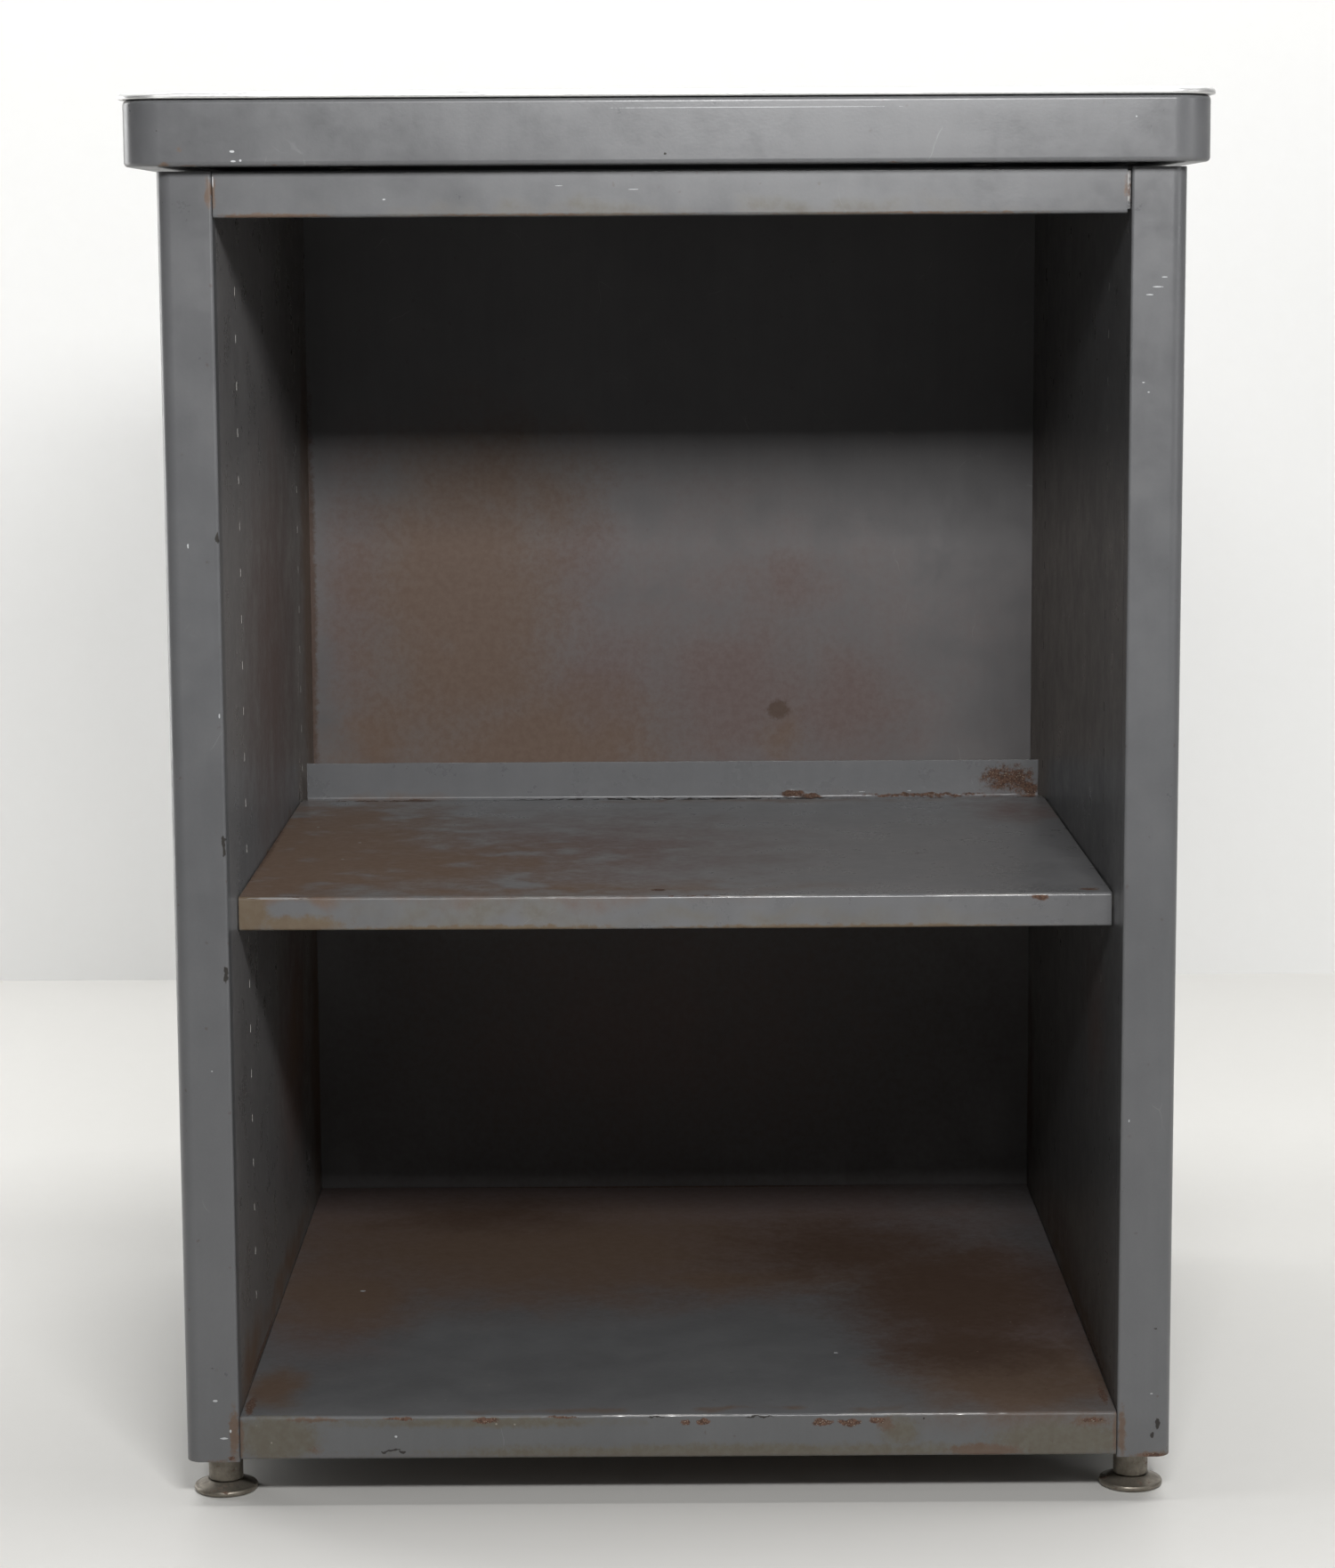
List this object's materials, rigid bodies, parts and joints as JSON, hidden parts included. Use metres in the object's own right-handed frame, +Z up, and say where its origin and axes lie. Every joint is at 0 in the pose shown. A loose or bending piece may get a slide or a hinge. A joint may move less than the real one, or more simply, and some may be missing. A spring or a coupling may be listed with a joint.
{
  "type": "open steel shelf cabinet",
  "caption": "Desk-height open-front steel shelf cabinet with a bright-edged overhanging top, slotted inner walls, a lift-off adjustable shelf and screw-in levelling glides.",
  "frame": {"origin": "on the floor, under the centre of the top's outline", "axes": "+Z up; the open front faces -Y; +X is to the right of a person facing the front"},
  "size_m": [0.5626, 0.5558, 0.7511],
  "materials": {
    "grey_paint": "satin grey enamel on sheet steel, chipped at the edges",
    "worn_paint": "satin grey enamel, stained and rusted through in patches",
    "bright_trim": "bright drawn edging with a rounded nose",
    "linoleum": "dull linoleum sheet",
    "plated_steel": "dull zinc plate",
    "glide_steel": "tarnished steel",
    "raw_steel": "dark mill-finish steel, unseen in use"
  },
  "bodies": {
    "cabinet": {"base_rear_rail": "raw_steel", "bottom_shelf": "worn_paint", "bottom_stiffener_front": "raw_steel", "bottom_stiffener_rear": "raw_steel", "glide_nut_front_left": "raw_steel", "glide_nut_front_right": "raw_steel", "glide_nut_rear_left": "raw_steel", "glide_nut_rear_right": "raw_steel", "glide_plate_front_left": "raw_steel", "glide_plate_front_right": "raw_steel", "glide_plate_rear_left": "raw_steel", "glide_plate_rear_right": "raw_steel", "inner_back_panel": "worn_paint", "left_base_channel": "raw_steel", "left_inner_wall": "worn_paint", "left_rail_angle": "grey_paint", "left_side_panel": "grey_paint", "left_top_channel": "raw_steel", "linoleum_sheet": "linoleum", "outer_back_panel": "grey_paint", "right_base_channel": "raw_steel", "right_inner_wall": "worn_paint", "right_rail_angle": "grey_paint", "right_side_panel": "grey_paint", "right_top_channel": "raw_steel", "shelf_clip_front_left": "plated_steel", "shelf_clip_front_right": "plated_steel", "shelf_clip_rear_left": "plated_steel", "shelf_clip_rear_right": "plated_steel", "top_edge_trim": "bright_trim", "top_front_rail": "grey_paint", "top_pan": "grey_paint", "top_rear_rail": "raw_steel", "top_screw_front_left": "plated_steel", "top_screw_front_right": "plated_steel", "top_screw_rear_left": "plated_steel", "top_screw_rear_right": "plated_steel", "top_spacer_front_left": "raw_steel", "top_spacer_front_right": "raw_steel", "top_spacer_rear_left": "raw_steel", "top_spacer_rear_right": "raw_steel", "top_stiffener_front": "raw_steel", "top_stiffener_rear": "raw_steel"},
    "shelf": {"adjustable_shelf": "worn_paint"},
    "foot_front_left": {"glide_foot_front_left": "glide_steel"},
    "stem_front_left": {"glide_stem_front_left": "glide_steel"},
    "foot_front_right": {"glide_foot_front_right": "glide_steel"},
    "stem_front_right": {"glide_stem_front_right": "glide_steel"},
    "foot_rear_left": {"glide_foot_rear_left": "glide_steel"},
    "stem_rear_left": {"glide_stem_rear_left": "glide_steel"},
    "foot_rear_right": {"glide_foot_rear_right": "glide_steel"},
    "stem_rear_right": {"glide_stem_rear_right": "glide_steel"}
  },
  "joints": [
    {"name": "shelf_lift", "type": "slide", "parent": "cabinet", "child": "shelf", "axis": [0, 0, 1], "range_m": [0, 0.3]},
    {"name": "glide_travel_front_left", "type": "slide", "parent": "cabinet", "child": "foot_front_left", "axis": [0, 0, -1], "range_m": [-0.0152, 0.014]},
    {"name": "glide_turn_front_left", "type": "hinge", "parent": "foot_front_left", "child": "stem_front_left", "pos_m": [-0.24515, -0.22985, 0], "axis": [0, 0, -1], "range_deg": [-2160, 1990]},
    {"name": "glide_travel_front_right", "type": "slide", "parent": "cabinet", "child": "foot_front_right", "axis": [0, 0, -1], "range_m": [-0.0152, 0.014]},
    {"name": "glide_turn_front_right", "type": "hinge", "parent": "foot_front_right", "child": "stem_front_right", "pos_m": [0.25005, -0.22985, 0], "axis": [0, 0, -1], "range_deg": [-2160, 1990]},
    {"name": "glide_travel_rear_left", "type": "slide", "parent": "cabinet", "child": "foot_rear_left", "axis": [0, 0, -1], "range_m": [-0.0152, 0.014]},
    {"name": "glide_turn_rear_left", "type": "hinge", "parent": "foot_rear_left", "child": "stem_rear_left", "pos_m": [-0.24515, 0.20965, 0], "axis": [0, 0, -1], "range_deg": [-2160, 1990]},
    {"name": "glide_travel_rear_right", "type": "slide", "parent": "cabinet", "child": "foot_rear_right", "axis": [0, 0, -1], "range_m": [-0.0152, 0.014]},
    {"name": "glide_turn_rear_right", "type": "hinge", "parent": "foot_rear_right", "child": "stem_rear_right", "pos_m": [0.25005, 0.20965, 0], "axis": [0, 0, -1], "range_deg": [-2160, 1990]}
  ],
  "couplings": [
    {"joint": "glide_turn_front_left", "follows": "glide_travel_front_left", "rad_per_m": 2473.7},
    {"joint": "glide_turn_front_right", "follows": "glide_travel_front_right", "rad_per_m": 2473.7},
    {"joint": "glide_turn_rear_left", "follows": "glide_travel_rear_left", "rad_per_m": 2473.7},
    {"joint": "glide_turn_rear_right", "follows": "glide_travel_rear_right", "rad_per_m": 2473.7}
  ]
}
